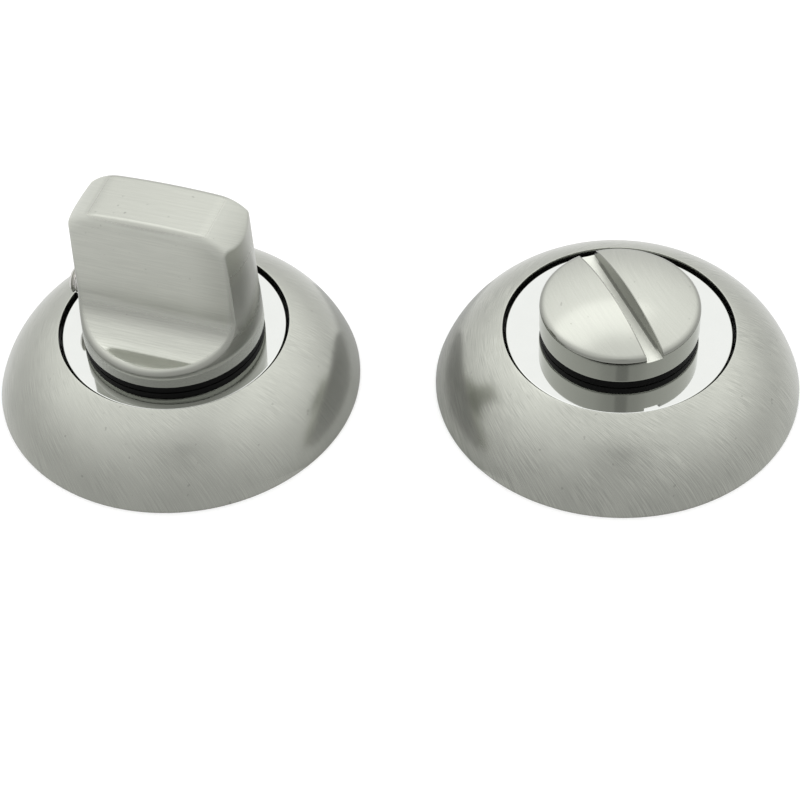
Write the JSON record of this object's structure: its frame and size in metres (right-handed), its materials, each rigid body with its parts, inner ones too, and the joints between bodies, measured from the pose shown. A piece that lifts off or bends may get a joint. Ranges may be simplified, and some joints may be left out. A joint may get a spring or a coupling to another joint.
{
  "type": "bathroom thumb turn lock",
  "caption": "Bathroom door lock set: a thumb turn with a scooped blade and a coin-slotted emergency release, each turning on a domed round rosette with a polished inner disc.",
  "frame": {"origin": "midway between the two turning axes, on the plane of the backs of both halves", "axes": "+X from the thumb turn to the release, +Z out from the door face"},
  "size_m": [0.115, 0.052, 0.0338],
  "materials": {
    "satin_nickel": "brushed satin nickel plate",
    "polished_chrome": "mirror polished chrome plate",
    "black_nylon": "black moulded nylon",
    "bright_steel": "bright threaded steel",
    "zinc_casting": "raw zinc alloy casting",
    "white_nylon": "natural moulded nylon",
    "spring_steel": "oiled spring steel",
    "zinc_plate": "zinc plated steel"
  },
  "bodies": {
    "rosettes": {"turn_rosette": "satin_nickel", "turn_disc": "polished_chrome", "turn_base": "zinc_casting", "turn_bush": "white_nylon", "turn_wave_washer": "spring_steel", "release_rosette": "satin_nickel", "release_disc": "polished_chrome", "release_base": "zinc_casting", "release_bush": "white_nylon", "release_wave_washer": "spring_steel", "release_bolt_sleeves": "zinc_plate"},
    "thumb_turn": {"turn_knob": "satin_nickel", "turn_grub_screw": "bright_steel", "turn_glide_ring": "black_nylon", "turn_stop_washer": "zinc_plate", "turn_circlip": "spring_steel"},
    "coin_release": {"release_head": "satin_nickel", "release_glide_ring": "black_nylon", "release_stop_washer": "zinc_plate", "release_circlip": "spring_steel"}
  },
  "joints": [
    {"name": "turn_spin", "type": "hinge", "parent": "rosettes", "child": "thumb_turn", "pos_m": [-0.0315, 0, 0.008], "axis": [0, 0, 1], "range_deg": [0, 90]},
    {"name": "release_spin", "type": "hinge", "parent": "rosettes", "child": "coin_release", "pos_m": [0.0315, 0, 0.008], "axis": [0, 0, 1], "range_deg": [-90, 0]}
  ]
}
